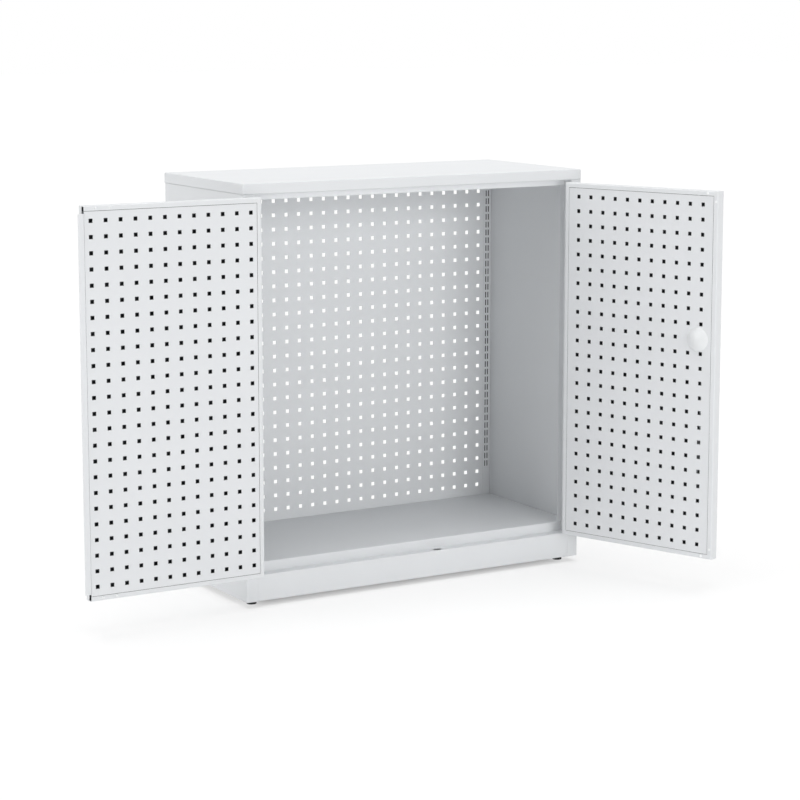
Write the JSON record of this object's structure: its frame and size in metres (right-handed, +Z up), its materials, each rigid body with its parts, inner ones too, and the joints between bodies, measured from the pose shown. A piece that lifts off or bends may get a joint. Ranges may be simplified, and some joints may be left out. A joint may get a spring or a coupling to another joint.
{
  "type": "workshop cabinet",
  "caption": "Pale grey sheet-steel workshop cabinet with perforated door linings and back, slotted shelf uprights, a turn handle that drives lock rods, and levelling feet.",
  "frame": {"origin": "on the floor under the middle of the carcass", "axes": "+Z up, +Y from the door front to the back, +X to the right seen from the front"},
  "size_m": [1.5937, 0.9056, 1.06],
  "materials": {
    "powder_coat": "satin powder coat",
    "zinc_steel": "zinc plated",
    "black_plastic": "matt moulded",
    "black_coated_metal": "black coated zinc die casting",
    "pale_plastic": "satin moulded",
    "chrome": "polished"
  },
  "bodies": {
    "carcass": {"top_cover": "powder_coat", "left_side_panel": "powder_coat", "right_side_panel": "powder_coat", "back_panel": "powder_coat", "left_slotted_upright": "powder_coat", "right_slotted_upright": "powder_coat", "bottom_shelf": "powder_coat", "top_rail": "powder_coat", "plinth_front": "powder_coat", "rear_base_rail": "powder_coat", "foot_brackets": "powder_coat", "foot_nuts": "zinc_steel", "top_cover_bolts": "zinc_steel", "top_cover_nuts": "zinc_steel", "left_lower_frame_knuckle": "powder_coat", "left_middle_frame_knuckle": "powder_coat", "left_upper_frame_knuckle": "powder_coat", "right_lower_frame_knuckle": "powder_coat", "right_middle_frame_knuckle": "powder_coat", "right_upper_frame_knuckle": "powder_coat", "left_lower_hinge_pin": "zinc_steel", "left_middle_hinge_pin": "zinc_steel", "left_upper_hinge_pin": "zinc_steel", "right_lower_hinge_pin": "zinc_steel", "right_middle_hinge_pin": "zinc_steel", "right_upper_hinge_pin": "zinc_steel"},
    "left_door": {"left_door_skin": "powder_coat", "left_door_panel": "powder_coat", "meeting_strip": "powder_coat", "left_door_bumpers": "pale_plastic", "left_lower_door_knuckle": "powder_coat", "left_middle_door_knuckle": "powder_coat", "left_upper_door_knuckle": "powder_coat"},
    "right_door": {"right_door_skin": "powder_coat", "right_door_panel": "powder_coat", "right_door_bumpers": "pale_plastic", "escutcheon": "black_coated_metal", "escutcheon_nut": "zinc_steel", "lock_cover": "pale_plastic", "upper_rod_guide": "zinc_steel", "lower_rod_guide": "zinc_steel", "right_lower_door_knuckle": "powder_coat", "right_middle_door_knuckle": "powder_coat", "right_upper_door_knuckle": "powder_coat"},
    "handle": {"handle_grip": "black_coated_metal", "handle_spindle": "zinc_steel", "lock_cam": "zinc_steel"},
    "lock_plug": {"lock_plug": "chrome"},
    "upper_rod": {"upper_rod": "zinc_steel"},
    "lower_rod": {"lower_rod": "zinc_steel"},
    "front_left_foot": {"front_left_foot_pad": "black_plastic", "front_left_foot_stud": "zinc_steel"},
    "front_right_foot": {"front_right_foot_pad": "black_plastic", "front_right_foot_stud": "zinc_steel"},
    "rear_left_foot": {"rear_left_foot_pad": "black_plastic", "rear_left_foot_stud": "zinc_steel"},
    "rear_right_foot": {"rear_right_foot_pad": "black_plastic", "rear_right_foot_stud": "zinc_steel"}
  },
  "joints": [
    {"name": "left_door_hinge", "type": "hinge", "parent": "carcass", "child": "left_door", "pos_m": [-0.4682, -0.2305, 0.556], "axis": [0, 0, 1], "range_deg": [0, 180]},
    {"name": "right_door_hinge", "type": "hinge", "parent": "carcass", "child": "right_door", "pos_m": [0.4682, -0.2305, 0.556], "axis": [0, 0, 1], "range_deg": [-110, 70]},
    {"name": "handle_turn", "type": "hinge", "parent": "right_door", "child": "handle", "pos_m": [0.60494, -0.62226, 0.65], "axis": [0.9397, 0.342, 0], "range_deg": [0, 90]},
    {"name": "lock_plug_turn", "type": "hinge", "parent": "handle", "child": "lock_plug", "pos_m": [0.60494, -0.62226, 0.65], "axis": [0.9397, 0.342, 0], "range_deg": [0, 90]},
    {"name": "upper_rod_slide", "type": "slide", "parent": "right_door", "child": "upper_rod", "axis": [0.0008, -0.0023, 1], "range_m": [0, 0.0199]},
    {"name": "lower_rod_slide", "type": "slide", "parent": "right_door", "child": "lower_rod", "axis": [-0.0137, 0.0376, -0.9992], "range_m": [0, 0.0199]},
    {"name": "front_left_foot_screw", "type": "slide", "parent": "carcass", "child": "front_left_foot", "axis": [0, 0, -1], "range_m": [0, 0.012]},
    {"name": "front_right_foot_screw", "type": "slide", "parent": "carcass", "child": "front_right_foot", "axis": [0, 0, -1], "range_m": [0, 0.012]},
    {"name": "rear_left_foot_screw", "type": "slide", "parent": "carcass", "child": "rear_left_foot", "axis": [0, 0, -1], "range_m": [0, 0.012]},
    {"name": "rear_right_foot_screw", "type": "slide", "parent": "carcass", "child": "rear_right_foot", "axis": [0, 0, -1], "range_m": [0, 0.012]}
  ],
  "couplings": [
    {"joint": "upper_rod_slide", "follows": "handle_turn", "m_per_rad": 0.012604},
    {"joint": "lower_rod_slide", "follows": "handle_turn", "m_per_rad": 0.012604}
  ]
}
